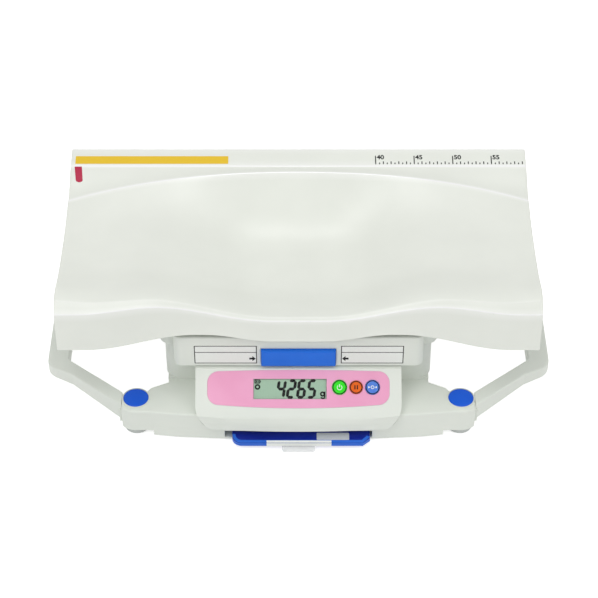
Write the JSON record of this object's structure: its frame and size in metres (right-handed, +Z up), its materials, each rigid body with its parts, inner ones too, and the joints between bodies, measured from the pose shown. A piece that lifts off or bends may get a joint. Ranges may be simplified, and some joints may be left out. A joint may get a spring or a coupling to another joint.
{
  "type": "digital baby weighing scale",
  "caption": "Digital baby scale: scooped lift-off tray on a weighing platform, base with folding legs and tilted display pod with keys.",
  "frame": {"origin": "on the floor under the middle of the scale's bounding box", "axes": "+X to the right seen from the display side, +Y to the back (ruler flange), +Z up"},
  "size_m": [0.642, 0.342, 0.2168],
  "materials": {
    "tray_plastic": "satin",
    "case_plastic": "satin",
    "screw_steel": "zinc plated",
    "plate_steel": "zinc plated sheet",
    "pad_rubber": "matte",
    "lever_blue": "satin",
    "panel_face": "printed film",
    "window_clear": "clear",
    "lcd_glass": "reflective display",
    "circuit_board": "solder resist",
    "key_green": "gloss",
    "key_orange": "gloss",
    "key_blue": "gloss",
    "switch_black": "matte",
    "cell_aluminium": "milled",
    "battery_jacket": "plain jacket",
    "contact_steel": "nickel plated",
    "cursor_blue": "satin",
    "tab_clear": "clear",
    "pin_steel": "polished",
    "cap_blue": "gloss",
    "washer_nylon": "satin",
    "foot_rubber": "matte"
  },
  "bodies": {
    "base": {"platform_cover": "case_plastic", "platform_stiffener": "plate_steel", "platform_screws": "screw_steel", "platform_pads": "pad_rubber", "base_lower_case": "case_plastic", "base_upper_case": "case_plastic", "case_screws": "screw_steel", "pod_lower_shell": "case_plastic", "pod_upper_shell": "case_plastic", "display_panel": "panel_face", "lcd_window": "window_clear", "lcd_module": "lcd_glass", "main_board": "circuit_board", "button_switches": "switch_black", "load_cell": "cell_aluminium", "load_cell_foot": "cell_aluminium", "load_cell_head": "cell_aluminium", "load_cell_bolts": "screw_steel", "batteries": "battery_jacket", "battery_contacts": "contact_steel", "left_pivot_pin": "pin_steel", "left_pivot_cap": "cap_blue", "left_front_foot": "foot_rubber", "right_pivot_pin": "pin_steel", "right_pivot_cap": "cap_blue", "right_front_foot": "foot_rubber"},
    "tray": {"tray_shell": "tray_plastic", "tray_mount_frame": "case_plastic", "tray_mount_screws": "screw_steel"},
    "lock_lever": {"lock_lever": "lever_blue"},
    "left_leg": {"left_leg": "case_plastic", "left_rear_foot": "foot_rubber", "left_pivot_washer": "washer_nylon"},
    "right_leg": {"right_leg": "case_plastic", "right_rear_foot": "foot_rubber", "right_pivot_washer": "washer_nylon"},
    "height_cursor": {"height_cursor": "cursor_blue", "cursor_tab": "tab_clear"},
    "battery_cover": {"battery_cover": "case_plastic"},
    "button_power": {"button_power": "key_green"},
    "button_hold": {"button_hold": "key_orange"},
    "button_zero": {"button_zero": "key_blue"}
  },
  "joints": [
    {"name": "tray_lift", "type": "slide", "parent": "base", "child": "tray", "axis": [0, 0, 1], "range_m": [0, 0.12]},
    {"name": "lever_pull", "type": "slide", "parent": "base", "child": "lock_lever", "axis": [0, -1, 0], "range_m": [0, 0.012]},
    {"name": "left_leg_fold", "type": "hinge", "parent": "base", "child": "left_leg", "pos_m": [-0.203, -0.1156, 0.027], "axis": [0, 0, -1], "range_deg": [0, 90]},
    {"name": "right_leg_fold", "type": "hinge", "parent": "base", "child": "right_leg", "pos_m": [0.203, -0.1156, 0.027], "axis": [0, 0, 1], "range_deg": [0, 90]},
    {"name": "cursor_slide", "type": "slide", "parent": "base", "child": "height_cursor", "axis": [0, -1, 0], "range_m": [0, 0.075]},
    {"name": "battery_cover_slide", "type": "slide", "parent": "base", "child": "battery_cover", "axis": [0, 1, 0], "range_m": [0, 0.025]},
    {"name": "button_power_press", "type": "slide", "parent": "base", "child": "button_power", "axis": [0, 0.6691, -0.7431], "range_m": [0, 0.0008], "stiffness_N_per_m": 1500, "springref_m": -0.0003},
    {"name": "button_hold_press", "type": "slide", "parent": "base", "child": "button_hold", "axis": [0, 0.6691, -0.7431], "range_m": [0, 0.0008], "stiffness_N_per_m": 1500, "springref_m": -0.0003},
    {"name": "button_zero_press", "type": "slide", "parent": "base", "child": "button_zero", "axis": [0, 0.6691, -0.7431], "range_m": [0, 0.0008], "stiffness_N_per_m": 1500, "springref_m": -0.0003}
  ]
}
